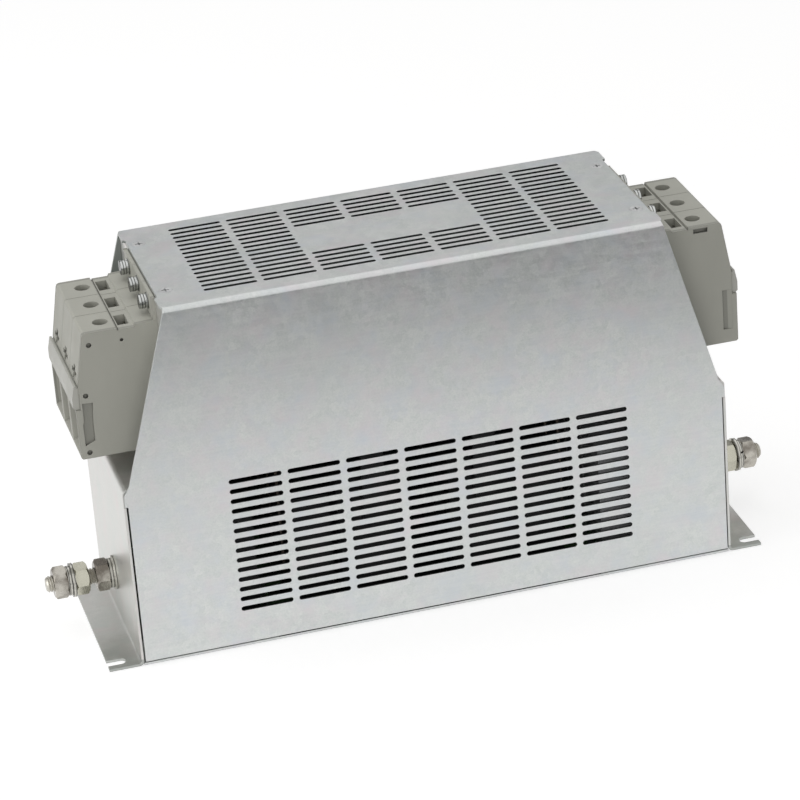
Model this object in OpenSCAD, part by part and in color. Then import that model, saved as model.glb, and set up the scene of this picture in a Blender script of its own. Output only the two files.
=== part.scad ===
// Three phase line filter: a folded sheet steel case with slotted vents, three
// clamp terminals and an earthing stud at each end, and the filter parts inside.
// Units are millimetres, +Z is up and the origin is on the mounting surface, under
// the middle of the case. The line end is at -X, the load end at +X, the front at -Y.

/* [Case] */
// Length over the two end walls at the mounting surface
case_length = 365.2; // [360:0.2:380]
// Length of the top of the case, between the two upper end walls
top_length = 295.6; // [290:0.2:300]
// Depth over the cover, front to back
case_depth = 127.4; // [126:0.2:136]
// Height from the mounting surface to the top of the cover
case_height = 222; // [220:0.5:232]
// Distance from the top of the case down to the shelf under the terminals
shelf_drop = 108; // [106:0.5:110]
// Thickness of the sheet steel
sheet = 1.5; // [1.2:0.1:1.6]
// Outer radius of the folds in the sheet
fold_r = 3; // [2.6:0.1:3.4]
// Clearance between the cover and the frame it slides over
cover_gap = 0.3; // [0.2:0.05:0.5]

/* [Feet] */
// How far a foot reaches out past the end wall
foot_length = 19.4; // [19.4:0.1:24]
// Distance between the slot centre lines of one foot
foot_slot_pitch = 110; // [108:0.5:112]
// Width of the open slots
foot_slot_width = 6.6; // [5.4:0.1:6.8]
// Distance from the outer edge of a foot to the centre of the slot's round end
foot_slot_depth = 7.9; // [6:0.1:8.4]

/* [Vent slots] */
// Width of a slot
slot_width = 2.9; // [2:0.1:3.4]
// Length of a slot, end to end
slot_length = 31.4; // [28:0.2:32]
// Distance between slot columns
column_pitch = 35; // [34:0.1:36]
// Distance between slot rows
row_pitch = 6.38; // [6.2:0.02:6.4]
// Number of rows in the front and in the back
front_rows = 14; // [10:1:14]
// Number of rows across the top
top_rows = 16; // [14:2:16]
// Rows at each edge that the blank field in the middle of the top leaves
top_short_rows = 5; // [3:1:6]
// Height of the upper row in the front
front_row_top = 108; // [106:0.5:110]
// How far the top field sits behind the middle
top_field_shift = 1.4; // [0:0.1:2]

/* [Terminals] */
// Distance between the poles
pole_pitch = 26.7; // [26.2:0.1:27.2]
// Gap between neighbouring poles
pole_gap = 0.1; // [0.1:0.05:0.2]
// Height of a pole, from its underside to its top face
pole_height = 77.6; // [76:0.2:80]
// Length of a pole, from the end wall to its outer face
pole_length = 52.3; // [51:0.1:54]
// Diameter of the screwdriver hole over a clamp screw
access_bore = 9; // [8:0.2:9.4]
// Diameter of the clamp screw's thread
clamp_thread = 10; // [9:0.5:10]
// Width of a phase bar
bar_width = 15; // [13:0.5:15]
// Thickness of a phase bar
bar_thick = 3; // [2.5:0.1:3.2]
// Height of the phase bars over the underside of a pole
bar_lift = 8.6; // [8:0.1:9.6]
// Distance from the top of the case down to the screws that hold the poles
fixing_drop = 8.8; // [8.6:0.1:10]
// Height of those screws over the top face of a pole
fixing_rise = 8.2; // [8:0.1:9]

/* [Earthing studs] */
// Thread diameter of the earthing studs
stud_d = 10; // [9:0.5:10]
// How far a stud stands out of the end wall
stud_out = 42.4; // [41.4:0.1:48]
// Height of the studs
stud_height = 31.5; // [30:0.5:36]
// Width across the flats of the nuts
nut_flats = 17; // [16:0.5:18]
// Thickness of a nut
nut_thick = 8.4; // [8:0.1:8.6]

/* [Inside] */
// Distance from the front and the back of the cover to a choke core
core_side = 7.7; // [6.5:0.1:9]
// Radial thickness of a choke core
core_wall = 14; // [12:0.5:16]
// Length of a choke core
core_length = 38; // [34:0.5:40]
// Distance from the case middle to the middle of a core
core_x = 34; // [33:0.5:38]
// Height of the tall capacitors
cap_height = 70; // [60:1:74]

/* [Hidden] */
$fn = 48;

hl = case_length / 2;
ht = top_length / 2;
hd = case_depth / 2;
shelf_height = case_height - shelf_drop;
foot_reach = hl + foot_length;
foot_slot_x = foot_reach - foot_slot_depth;
fixing_height = case_height - fixing_drop;
pole_top = fixing_height - fixing_rise;
pole_bottom = pole_top - pole_height;
pole_reach = ht + pole_length;
bar_height = pole_bottom + bar_lift;
stud_reach = hl + stud_out;
core_d = case_depth - 2 * core_side;
core_bore = core_d - 2 * core_wall;
inner_fold = fold_r - sheet;
flange_z = case_height - sheet;
frame_hd = hd - sheet - cover_gap;
wall_hd = hd - 1;
tray_side = 14;
angle_leg = 6.5;

// cover outline
panel_bottom = sheet + 1.2;
panel_low_x = hl - sheet - 0.9;
panel_high_x = hl - 0.6;
notch_z = shelf_height - 10.2;
corner_z = shelf_height - 3.5;
slope_x = hl - 4.1;
slope_z = shelf_height + 2;
ear_x = ht + 1.4;
ear_in = 45;
ear_out = hd - 5.5;
cut_back = 0.4;

// screws between the cover and the end walls
cover_screw_x = ht - 6.8;
cover_screw_y = 37;
cover_thread = 4;
cover_head = 8;
cover_screw_l = 9;
cover_nut_flats = 7;
cover_nut_thick = 3.2;

// one pole
pole_w = pole_pitch - pole_gap;
seam_d = 0.2;
seam_w = 0.2;
strip_top = pole_top - 32.1;
strip_foot = pole_top - 46.7;
strip_in = 2.2;
strip_out = 1.2;
strip_len = 3 * pole_pitch - 3.4;
face_top_x = pole_reach - 7.9;
face_low_x = pole_reach - 2.7;
screw_x = pole_reach - 21.5;
groove_x = screw_x - 7.3;
rib_x = screw_x - 18;
window_x = screw_x - 12.1;
window_l = 6.5;
window_w = pole_w - 12.6;
contact_w = window_w - 1.4;
test_z = strip_top + 4.4;
cage_l = 20;
cage_w = pole_w - 4.6;
cage_wall = 3;
cage_h = 50;
cage_gap = 0.3;
cage_low = bar_height - cage_wall;
cage_top = cage_low + cage_h;
bore_z = cage_top + 11;
head_d = clamp_thread + 2.4;
head_h = 8;
clamp_reach = 29;
lug_t = 2.2;
lug_w = pole_w - 2 * seam_w;
lug_top = case_height - 2.4;
spigot_w = bar_width + 4.6;
spigot_h = bar_thick + 6;
spigot_l = 5;
bar_fit = 0.15;

// fixing screws of the poles
fix_d = 5;
fix_head = 8.6;
fix_head_h = 3.3;
fix_washer = 0.8;
fix_spring = 1.2;
fix_nut_flats = 8;
fix_nut_thick = 4;

// earthing stud stack
thread_fit = 0.1;
washer_d = 2 * stud_d + 0.6;
washer_t = 2;
spring_d = 1.8 * stud_d;
spring_t = 2.2;
link_t = 1;
out1 = hl + washer_t;
out2 = out1 + spring_t;
out3 = out2 + nut_thick;
mid0 = out3 + 4.4;
mid1 = mid0 + nut_thick;
mid2 = mid1 + washer_t;
mid3 = mid2 + spring_t;
mid4 = mid3 + nut_thick;
in0 = hl - sheet - link_t;
in1 = in0 - spring_t;
in2 = in1 - nut_thick;
stud_in = in2 - 2;

// inside
axis_z = bar_height + bar_thick / 2;
carrier_d = core_bore - 0.4;
carrier_l = core_length + 8;
case_edge = 3;
strap_t = 1.5;
strap_w = 14;
strap_hang = 30;
saddle_w = core_length + 6;
saddle_h = axis_z - sheet - 44;
saddle_hd = core_d / 2 - 3;
saddle_window = 24;
saddle_pitch = 30;
board_z = 8;
board_t = 1.6;
board_top = board_z + board_t;
board_l = 113;
board_side = 4.4;
board_w = 2 * (frame_hd - sheet - board_side);
board_x = hl - sheet - 10.1 - board_l / 2;
post_x = board_l / 2 - 6;
post_y = board_w / 2 - 6;
cap_l = 56;
cap_space = 3;
cap_pitch = (board_w - 13) / 3;
cap_w = cap_pitch - cap_space;
inner_pitch = cap_pitch - 2;
cap_x = board_x + board_l / 2 - 37;
y_cap_l = 5;
y_cap_w = 9;
y_cap_h = 12;
resistor_l = 9;
resistor_d = 4;
tap_x = board_x + board_l / 2 - 78;
tap_w = 12;
tap_t = 1.5;
tap_foot = 10;
tap_back = tap_x - 7;
tap_d = 5;
inner_x0 = core_x + saddle_w / 2 + cap_space;
inner_x1 = tap_back - cap_space;

// ---- helpers ----

module at_line() {
    rotate([0, 0, 180]) children();
}

module poles() {
    for (i = [-1:1]) translate([0, i * pole_pitch, 0]) children();
}

module along_x(x0, x1, d) {
    translate([x0, 0, 0]) rotate([0, 90, 0]) cylinder(h = x1 - x0, d = d);
}

// a plate standing in the XZ plane, drawn as X and Z, w thick about y = 0
module plate_xz(w) {
    translate([0, w / 2, 0]) rotate([90, 0, 0]) linear_extrude(w) children();
}

// a profile drawn as Y and Z, l long about x = 0
module profile_yz(l) {
    translate([-l / 2, 0, 0]) rotate([90, 0, 90]) linear_extrude(l) children();
}

// a quarter of a fold, of outer radius ro, turned by a
module fold(x, y, ro, t, a) {
    translate([x, y]) rotate(a) intersection() {
        difference() {
            circle(ro);
            circle(ro - t);
        }
        square(ro + 1);
    }
}

module box2(x0, x1, y0, y1) {
    translate([x0, y0]) square([x1 - x0, y1 - y0]);
}

module box3(x0, x1, y0, y1, z0, z1) {
    translate([x0, y0, z0]) cube([x1 - x0, y1 - y0, z1 - z0]);
}

module slot2(l, w) {
    box2(-(l - w) / 2, (l - w) / 2, -w / 2, w / 2);
    translate([-(l - w) / 2, 0]) circle(d = w);
    translate([(l - w) / 2, 0]) circle(d = w);
}

// a six sided nut along X from x0 to x1, with both its edges chamfered
module nut_x(x0, x1, flats, bore, turn) {
    corner = flats / cos(30);
    chamfer = (corner - flats) / 2;
    thick = x1 - x0;
    difference() {
        intersection() {
            translate([x0, 0, 0]) rotate([turn, 0, 0]) rotate([0, 90, 0])
                cylinder(h = thick, d = corner, $fn = 6);
            translate([x0, 0, 0]) rotate([0, 90, 0]) rotate_extrude()
                polygon([[0, 0], [0.49 * flats, 0], [corner / 2 + 0.1, chamfer],
                    [corner / 2 + 0.1, thick - chamfer], [0.49 * flats, thick],
                    [0, thick]]);
        }
        along_x(x0 - 1, x1 + 1, bore);
    }
}

// a split spring washer: the ring, less the slanting cut that makes its two ends
module spring_ring(x0, x1, outer, bore, turn) {
    rotate([turn, 0, 0]) difference() {
        along_x(x0, x1, outer);
        along_x(x0 - 1, x1 + 1, bore);
        translate([(x0 + x1) / 2, 0, outer / 2]) rotate([0, 0, 20])
            cube([3 * (x1 - x0), 1, outer], center = true);
    }
}

// ---- case ----

module front_slots() {
    for (c = [-3:3]) for (r = [0:front_rows - 1])
        translate([c * column_pitch, front_row_top - r * row_pitch])
            slot2(slot_length, slot_width);
}

module top_slots() {
    for (c = [-3:3]) for (r = [0:top_rows - 1])
        if (abs(c) > 1 || r < top_short_rows || r >= top_rows - top_short_rows)
            translate([c * column_pitch,
                top_field_shift + (r - (top_rows - 1) / 2) * row_pitch])
                slot2(slot_length, slot_width);
}

module cover_outline() {
    polygon([[-panel_low_x, panel_bottom], [panel_low_x, panel_bottom],
        [panel_low_x, notch_z], [panel_high_x, notch_z], [panel_high_x, corner_z],
        [slope_x, slope_z], [ht, case_height], [-ht, case_height], [-slope_x, slope_z],
        [-panel_high_x, corner_z], [-panel_high_x, notch_z], [-panel_low_x, notch_z]]);
}

module cover_section() {
    box2(-hd + fold_r, hd - fold_r, case_height - sheet, case_height);
    fold(hd - fold_r, case_height - fold_r, fold_r, sheet, 0);
    fold(-hd + fold_r, case_height - fold_r, fold_r, sheet, 90);
    box2(-hd, -hd + sheet, panel_bottom, case_height - fold_r);
    box2(hd - sheet, hd, panel_bottom, case_height - fold_r);
}

module ear() {
    polygon([[ht - 1, ear_in], [ear_x, ear_in + 1], [ear_x, ear_out],
        [ht, hd - fold_r], [ht - 1, hd - fold_r]]);
}

module cover() {
    color("gainsboro") difference() {
        union() {
            intersection() {
                profile_yz(2 * hl + 2) cover_section();
                plate_xz(case_depth + 2) difference() {
                    cover_outline();
                    front_slots();
                }
            }
            for (s = [0, 180]) for (m = [0, 1]) rotate([0, 0, s]) mirror([0, m, 0])
                translate([0, 0, case_height - sheet]) linear_extrude(sheet) ear();
        }
        translate([0, 0, case_height - sheet - 1]) linear_extrude(sheet + 2) top_slots();
        for (s = [-1, 1]) {
            translate([s * (ht + 2 - cut_back), 0, case_height - sheet])
                cube([4, 2 * ear_in, 3 * sheet], center = true);
            for (y = [-1, 1])
                translate([s * cover_screw_x, y * cover_screw_y, case_height])
                    screw_sink();
        }
    }
}

// the hole that a countersunk screw needs, from the top face down
module screw_sink() {
    depth = (cover_head - cover_thread) / 2;
    translate([0, 0, -depth]) cylinder(h = depth, d1 = cover_thread + 0.2,
        d2 = cover_head + 0.2);
    translate([0, 0, -0.01]) cylinder(h = 1, d = cover_head + 0.2);
    translate([0, 0, -10]) cylinder(h = 10, d = cover_thread + 0.2);
}

module cover_screws() {
    depth = (cover_head - cover_thread) / 2;
    color("silver") for (x = [-1, 1]) for (y = [-1, 1])
        translate([x * cover_screw_x, y * cover_screw_y, case_height]) difference() {
            union() {
                translate([0, 0, -depth]) cylinder(h = depth, d1 = cover_thread,
                    d2 = cover_head);
                translate([0, 0, -cover_screw_l])
                    cylinder(h = cover_screw_l - depth / 2, d = cover_thread);
            }
            for (a = [0, 90]) rotate([0, 0, a])
                translate([0, 0, -0.5]) cube([4.4, 1, 2], center = true);
        }
}

module cover_nuts() {
    z1 = flange_z - sheet;
    color("silver") for (x = [-1, 1]) for (y = [-1, 1])
        translate([x * cover_screw_x, y * cover_screw_y, z1 - cover_nut_thick])
            difference() {
                cylinder(h = cover_nut_thick, d = cover_nut_flats / cos(30), $fn = 6);
                translate([0, 0, -1]) cylinder(h = 6, d = cover_thread + thread_fit);
            }
}

module wall_upper_section() {
    box2(ht - 15, ht - fold_r, flange_z - sheet, flange_z);
    fold(ht - fold_r, flange_z - fold_r, fold_r, sheet, 0);
    box2(ht - sheet, ht, shelf_height + inner_fold, flange_z - fold_r);
    fold(ht + inner_fold, shelf_height + inner_fold, fold_r, sheet, 180);
    box2(ht + inner_fold, hl - fold_r, shelf_height - sheet, shelf_height);
    fold(hl - fold_r, shelf_height - fold_r, fold_r, sheet, 0);
    box2(hl - sheet, hl, notch_z - 1, shelf_height - fold_r);
}

module wall_lower_section() {
    box2(hl - sheet, hl, fold_r, notch_z - 0.6);
    fold(hl + inner_fold, fold_r, fold_r, sheet, 180);
    box2(hl + inner_fold, foot_reach, 0, sheet);
}

module end_wall() {
    difference() {
        union() {
            plate_xz(2 * frame_hd) wall_upper_section();
            plate_xz(2 * wall_hd) wall_lower_section();
        }
        for (y = [-1, 1]) {
            // the flange stops short of the cover's own fold
            translate([0, y * hd, flange_z]) cube([case_length, 2 * fold_r + 0.2,
                2 * fold_r], center = true);
            translate([cover_screw_x, y * cover_screw_y, case_height]) screw_sink();
            translate([0, y * foot_slot_pitch / 2, -1]) linear_extrude(sheet + 2) {
                translate([foot_slot_x, 0]) circle(d = foot_slot_width);
                box2(foot_slot_x, foot_reach + 1, -foot_slot_width / 2,
                    foot_slot_width / 2);
            }
        }
        translate([0, 0, stud_height]) along_x(hl - 3, hl + 3, stud_d + 0.4);
        poles() {
            translate([0, 0, fixing_height]) along_x(ht - 3, ht + 3, fix_d + 0.4);
            translate([ht, 0, axis_z])
                cube([8, spigot_w + 0.4, spigot_h + 0.4], center = true);
        }
    }
}

module load_end_wall() {
    color("lightgrey") end_wall();
}

module line_end_wall() {
    color("lightgrey") at_line() end_wall();
}

// the tray's plate, folded up at both ends
module tray_section() {
    half = hl - sheet;
    box2(-half + fold_r, half - fold_r, 0, sheet);
    for (s = [0, 1]) mirror([s, 0]) {
        fold(half - fold_r, fold_r, fold_r, sheet, -90);
        box2(half - sheet, half, fold_r, tray_side);
    }
}

// the angle strips along the plate that the cover's sides lie against
module angle_section() {
    for (s = [0, 1]) mirror([s, 0]) {
        box2(frame_hd - angle_leg, frame_hd - fold_r, sheet, 2 * sheet);
        fold(frame_hd - fold_r, sheet + fold_r, fold_r, sheet, -90);
        box2(frame_hd - sheet, frame_hd, sheet + fold_r, tray_side);
    }
}

module base_tray() {
    end_half = hl - sheet;
    relief = fold_r + 1;
    side_in = frame_hd - relief + 1;
    color("lightgrey") {
        plate_xz(2 * (frame_hd - relief)) tray_section();
        profile_yz(2 * (end_half - relief)) {
            box2(-wall_hd, wall_hd, 0, sheet);
            angle_section();
        }
        for (s = [0, 1]) mirror([0, s, 0])
            box3(-end_half, end_half, side_in, wall_hd, 0, sheet);
    }
}

// ---- terminals ----

// side view of a pole, X outward and Z up, drawn e inside its full outline
module pole_outline(e) {
    polygon([[ht, pole_bottom + e], [pole_reach - 1 - e, pole_bottom + e],
        [pole_reach - e, pole_bottom + 1 + e], [pole_reach - e, strip_foot],
        [face_low_x - e, strip_foot], [face_low_x - e, strip_top],
        [face_top_x - e, pole_top - 2 - e], [face_top_x - 0.5 - e, pole_top - 0.7 - e],
        [face_top_x - 1.8 - e, pole_top - e], [groove_x + 0.4, pole_top - e],
        [groove_x, pole_top - 1.4 - e], [groove_x - 0.6, pole_top - 1.4 - e],
        [groove_x - 0.8, pole_top - 0.8 - e], [rib_x + 0.6, pole_top - 0.8 - e],
        [rib_x, pole_top + 0.6 - e], [ht, pole_top + 1.2 - e]]);
}

module conductor_funnel() {
    mouth_w = 11;
    throat_w = cage_w / 2 - cage_wall + 0.4;
    mouth_z0 = pole_bottom + 2;
    mouth_z1 = strip_foot - 1;
    throat_x = screw_x + cage_l / 2 + cage_gap / 2;
    end_x = pole_reach + 1;
    intersection() {
        plate_xz(2 * mouth_w) polygon([[throat_x, bar_height - 0.5],
            [end_x, mouth_z0], [end_x, mouth_z1], [throat_x, mouth_z1 - 1]]);
        translate([0, 0, mouth_z0 - 1]) linear_extrude(mouth_z1 - mouth_z0 + 2)
            polygon([[throat_x, -throat_w], [end_x, -mouth_w],
                [end_x, mouth_w], [throat_x, throat_w]]);
    }
}

// a cross in the outer face: a slot, and a narrow way for a probe with a ramp below
module test_opening() {
    box3(face_low_x - 7, pole_reach + 1, -6.5, 6.5, test_z - 1.3, test_z + 1.3);
    plate_xz(4.6) polygon([[face_low_x - 0.8, strip_top + 0.2],
        [pole_reach + 1, strip_top + 0.2], [pole_reach + 1, test_z + 4.2],
        [face_low_x - 7, test_z + 4.2], [face_low_x - 7, test_z - 1]]);
}

module side_marks() {
    // peg holes and the clip recess on one side
    far = pole_w / 2;
    for (p = [[11.6, 7.4, 3.1], [6.5, 38.2, 3.1], [5.1, 73.8, 3.1], [30.7, 7.4, 2]])
        translate([pole_reach - p[0], far - 1.6, pole_top - p[1]])
            rotate([-90, 0, 0]) cylinder(h = 3, d = p[2], $fn = 24);
    translate([pole_reach, far - 0.4, pole_top]) plate_xz(2) polygon([[-10.1, -43],
        [-3.9, -42.6], [-3.8, -54], [-3.1, -56], [-3.2, -69.4], [-9.1, -66.8],
        [-9.2, -55]]);
    // the catch window and the long clip recess on the other
    translate([pole_reach, -far, pole_top]) {
        plate_xz(4) box2(-25.6, -16.8, -4.2, -1.4);
        translate([0, 0, -69]) linear_extrude(25.5)
            polygon([[-9, -1], [-3.2, -1], [-3.2, 0.1], [-9, 1.4]]);
    }
}

module terminal_pole() {
    spigot_x0 = ht - spigot_l;
    cage_x0 = screw_x - cage_l / 2 - cage_gap;
    cage_x1 = screw_x + cage_l / 2 + cage_gap;
    cage_y = cage_w / 2 + cage_gap;
    difference() {
        union() {
            plate_xz(pole_w - 2 * seam_w) pole_outline(0);
            plate_xz(pole_w) pole_outline(seam_d);
            box3(ht, ht + lug_t, -lug_w / 2, lug_w / 2, pole_top - 2, lug_top);
            box3(spigot_x0, ht + 1, -spigot_w / 2, spigot_w / 2,
                axis_z - spigot_h / 2, axis_z + spigot_h / 2);
        }
        // pocket of the clamp cage, and the way in for the conductor
        box3(cage_x0, cage_x1, -cage_y, cage_y, cage_low - cage_gap, cage_top + 1);
        conductor_funnel();
        // the clamp screw and its screwdriver hole
        translate([screw_x, 0, cage_top]) cylinder(h = bore_z - cage_top,
            d = head_d + 0.6);
        translate([screw_x, 0, cage_top]) cylinder(h = 60, d = access_bore);
        // the bridge contact's window
        box3(window_x - window_l / 2, window_x + window_l / 2, -window_w / 2,
            window_w / 2, pole_top - 14, pole_top + 5);
        // the phase bar's way through
        box3(spigot_x0 - 1, cage_x0 + 1, -bar_width / 2 - bar_fit,
            bar_width / 2 + bar_fit, bar_height - bar_fit,
            bar_height + bar_thick + bar_fit);
        test_opening();
        // fixing screw, and the step under its head
        translate([0, 0, fixing_height]) along_x(ht - 1, ht + 5, fix_d + 0.3);
        translate([0, 0, fixing_height]) along_x(ht + lug_t, ht + 12, fix_head + 2);
        side_marks();
    }
}

module terminal_at(i) {
    translate([0, i * pole_pitch, 0]) terminal_pole();
}

module load_terminal_1() {
    color("darkgrey") terminal_at(-1);
}

module load_terminal_2() {
    color("darkgrey") terminal_at(0);
}

module load_terminal_3() {
    color("darkgrey") terminal_at(1);
}

module line_terminal_1() {
    color("darkgrey") at_line() terminal_at(1);
}

module line_terminal_2() {
    color("darkgrey") at_line() terminal_at(0);
}

module line_terminal_3() {
    color("darkgrey") at_line() terminal_at(-1);
}

// the strip that snaps over the three poles, with a groove along its upper edge
module marker_strip() {
    x0 = face_low_x;
    x1 = pole_reach + strip_out;
    plate_xz(strip_len) polygon([[x0, strip_foot + 0.1], [pole_reach, strip_foot + 0.1],
        [x1, strip_foot + 1.2], [x1, strip_foot + 7], [x0 + 2.3, strip_top],
        [x0 + 1, strip_top], [x0 + 1, strip_top - 1.2], [x0, strip_top - 1.2]]);
}

module load_marker_strip() {
    color("darkgrey") marker_strip();
}

module line_marker_strip() {
    color("darkgrey") at_line() marker_strip();
}

module clamp_cages() {
    x0 = screw_x - cage_l / 2;
    x1 = screw_x + cage_l / 2;
    y1 = cage_w / 2;
    poles() difference() {
        box3(x0, x1, -y1, y1, cage_low, cage_top);
        box3(x0 - 1, x1 + 1, -y1 + cage_wall, y1 - cage_wall, bar_height,
            strip_foot + 2);
        translate([screw_x, 0, bar_height]) cylinder(h = cage_h + 9,
            d = clamp_thread + thread_fit);
    }
}

module load_clamp_cages() {
    color("silver") clamp_cages();
}

module line_clamp_cages() {
    color("silver") at_line() clamp_cages();
}

module clamp_screws() {
    poles() translate([screw_x, 0, cage_top + 0.3]) difference() {
        union() {
            cylinder(h = head_h, d = head_d);
            translate([0, 0, 2 - clamp_reach]) cylinder(h = clamp_reach - 1,
                d = clamp_thread);
            translate([0, 0, -clamp_reach]) cylinder(h = 2.1, d1 = clamp_thread - 3,
                d2 = clamp_thread);
        }
        translate([0, 0, head_h - 5]) cylinder(h = 6, d = 6 / cos(30), $fn = 6);
    }
}

module load_clamp_screws() {
    color("silver") clamp_screws();
}

module line_clamp_screws() {
    color("silver") at_line() clamp_screws();
}

// a folded spring clip with two leaves, at the bottom of each window
module bridge_contacts() {
    z0 = pole_top - 14;
    poles() translate([window_x, 0, 0]) {
        box3(-2.8, 2.8, -contact_w / 2, contact_w / 2, z0, z0 + 1);
        for (s = [-1, 1])
            box3(s * 2.3 - 0.5, s * 2.3 + 0.5, -contact_w / 2, contact_w / 2, z0, z0 + 9);
        for (y = [-1, 0, 1]) translate([0, y * contact_w / 4, 0])
            box3(-2.3, 2.3, -0.4, 0.4, z0, z0 + 7);
    }
}

module load_bridge_contacts() {
    color("silver") bridge_contacts();
}

module line_bridge_contacts() {
    color("silver") at_line() bridge_contacts();
}

module fixing_screws() {
    x1 = ht + lug_t;
    x2 = x1 + fix_washer;
    x3 = x2 + fix_spring;
    x4 = x3 + fix_head_h;
    poles() translate([0, 0, fixing_height]) difference() {
        union() {
            along_x(ht - sheet - 7, x4 - 0.5, fix_d);
            along_x(x1, x2, fix_head + 1);
            along_x(x2, x3, fix_head - 0.6);
            along_x(x3, x4, fix_head);
        }
        translate([x4, 0, 0]) cube([2.4, 1.2, fix_head + 1], center = true);
    }
}

module load_fixing_screws() {
    color("silver") fixing_screws();
}

module line_fixing_screws() {
    color("silver") at_line() fixing_screws();
}

module fixing_nuts() {
    x1 = ht - sheet;
    poles() translate([0, 0, fixing_height])
        nut_x(x1 - fix_nut_thick, x1, fix_nut_flats, fix_d + thread_fit, 0);
}

module load_fixing_nuts() {
    color("silver") fixing_nuts();
}

module line_fixing_nuts() {
    color("silver") at_line() fixing_nuts();
}

// ---- earthing studs ----

module earth_stud() {
    tip = 1.4;
    translate([0, 0, stud_height]) {
        along_x(stud_in, stud_reach - tip, stud_d);
        translate([stud_reach - tip, 0, 0]) rotate([0, 90, 0])
            cylinder(h = tip, d1 = stud_d, d2 = stud_d - 2 * tip);
    }
}

module earth_nuts() {
    translate([0, 0, stud_height]) {
        nut_x(in2, in1, nut_flats, stud_d + thread_fit, 0);
        nut_x(out2, out3, nut_flats, stud_d + thread_fit, 30);
        nut_x(mid0, mid1, nut_flats, stud_d + thread_fit, 26);
        nut_x(mid3, mid4, nut_flats, stud_d + thread_fit, 22);
    }
}

module earth_washers() {
    translate([0, 0, stud_height]) for (p = [[hl, out1], [mid1, mid2]]) difference() {
        along_x(p[0], p[1], washer_d);
        along_x(p[0] - 1, p[1] + 1, stud_d + 0.5);
    }
}

module spring_washers() {
    translate([0, 0, stud_height]) {
        spring_ring(in1, in0, spring_d, stud_d + 0.4, 200);
        spring_ring(out1, out2, spring_d, stud_d + 0.4, 150);
        spring_ring(mid2, mid3, spring_d, stud_d + 0.4, 60);
    }
}

module load_earth_stud() {
    color("silver") earth_stud();
}

module line_earth_stud() {
    color("silver") at_line() earth_stud();
}

module load_earth_nuts() {
    color("silver") earth_nuts();
}

module line_earth_nuts() {
    color("silver") at_line() earth_nuts();
}

module load_earth_washers() {
    color("silver") earth_washers();
}

module line_earth_washers() {
    color("silver") at_line() earth_washers();
}

module load_spring_washers() {
    color("silver") spring_washers();
}

module line_spring_washers() {
    color("silver") at_line() spring_washers();
}

// a folded strip from the board's earth pad to the inner end of the stud
module earth_link() {
    x1 = hl - sheet;
    x0 = x1 - link_t;
    z1 = 17;
    foot_x1 = board_x + board_l / 2 - 1;
    difference() {
        plate_xz(14) {
            box2(x0, x1, z1, stud_height + 9);
            box2(foot_x1, x1, z1 - link_t, z1);
            box2(foot_x1 - link_t, foot_x1, board_top, z1);
            box2(foot_x1 - 7, foot_x1, board_top, board_top + link_t);
        }
        translate([0, 0, stud_height]) along_x(x0 - 1, x1 + 1, stud_d + 0.5);
    }
}

module load_earth_link() {
    color("peru") earth_link();
}

module line_earth_link() {
    color("peru") at_line() earth_link();
}

// ---- inside ----

module phase_bar(i) {
    bar_end = screw_x + cage_l / 2 - 1;
    translate([0, i * pole_pitch, 0]) difference() {
        box3(-bar_end, bar_end, -bar_width / 2, bar_width / 2, bar_height,
            bar_height + bar_thick);
        for (s = [-1, 1]) translate([s * tap_x, 0, bar_height - 1])
            cylinder(h = bar_thick + 2, d = tap_d + 0.2);
    }
}

module phase_bar_1() {
    color("peru") phase_bar(-1);
}

module phase_bar_2() {
    color("peru") phase_bar(0);
}

module phase_bar_3() {
    color("peru") phase_bar(1);
}

// a ring core in its moulded case, with rounded edges
module core_ring() {
    r0 = core_bore / 2;
    r1 = core_d / 2;
    translate([core_x - core_length / 2, 0, axis_z]) rotate([0, 90, 0])
        rotate_extrude($fn = 96) {
            box2(r0 + case_edge, r1 - case_edge, 0, core_length);
            box2(r0, r1, case_edge, core_length - case_edge);
            for (p = [r0 + case_edge, r1 - case_edge])
                for (q = [case_edge, core_length - case_edge])
                    translate([p, q]) circle(r = case_edge, $fn = 32);
        }
}

module load_core() {
    color("royalblue") core_ring();
}

module line_core() {
    color("royalblue") at_line() core_ring();
}

// the moulding in a core's bore that carries the three bars
module bar_carrier() {
    difference() {
        translate([0, 0, axis_z]) difference() {
            union() {
                along_x(core_x - carrier_l / 2, core_x + carrier_l / 2, carrier_d);
                along_x(core_x + core_length / 2, core_x + carrier_l / 2,
                    carrier_d + 9);
            }
            for (s = [-1, 1]) translate([core_x, 0, s * (carrier_d / 2 - 15.8)])
                cube([carrier_l + 2, 34, 16], center = true);
        }
        poles() box3(core_x - carrier_l, core_x + carrier_l, -bar_width / 2 - bar_fit,
            bar_width / 2 + bar_fit, bar_height - bar_fit,
            bar_height + bar_thick + bar_fit);
    }
}

module load_bar_carrier() {
    color("dimgrey") bar_carrier();
}

module line_bar_carrier() {
    color("dimgrey") at_line() bar_carrier();
}

module core_saddle() {
    x0 = core_x - saddle_w / 2;
    x1 = core_x + saddle_w / 2;
    difference() {
        box3(x0, x1, -saddle_hd, saddle_hd, sheet, sheet + saddle_h);
        translate([0, 0, axis_z]) along_x(x0 - 1, x1 + 1, core_d + 0.2);
        for (i = [-1:1]) translate([0, i * saddle_pitch, 0])
            box3(x0 - 1, x1 + 1, -saddle_window / 2, saddle_window / 2, sheet + 8,
                axis_z - core_d / 2 - 8);
    }
}

module load_core_saddle() {
    color("dimgrey") core_saddle();
}

module line_core_saddle() {
    color("dimgrey") at_line() core_saddle();
}

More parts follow.
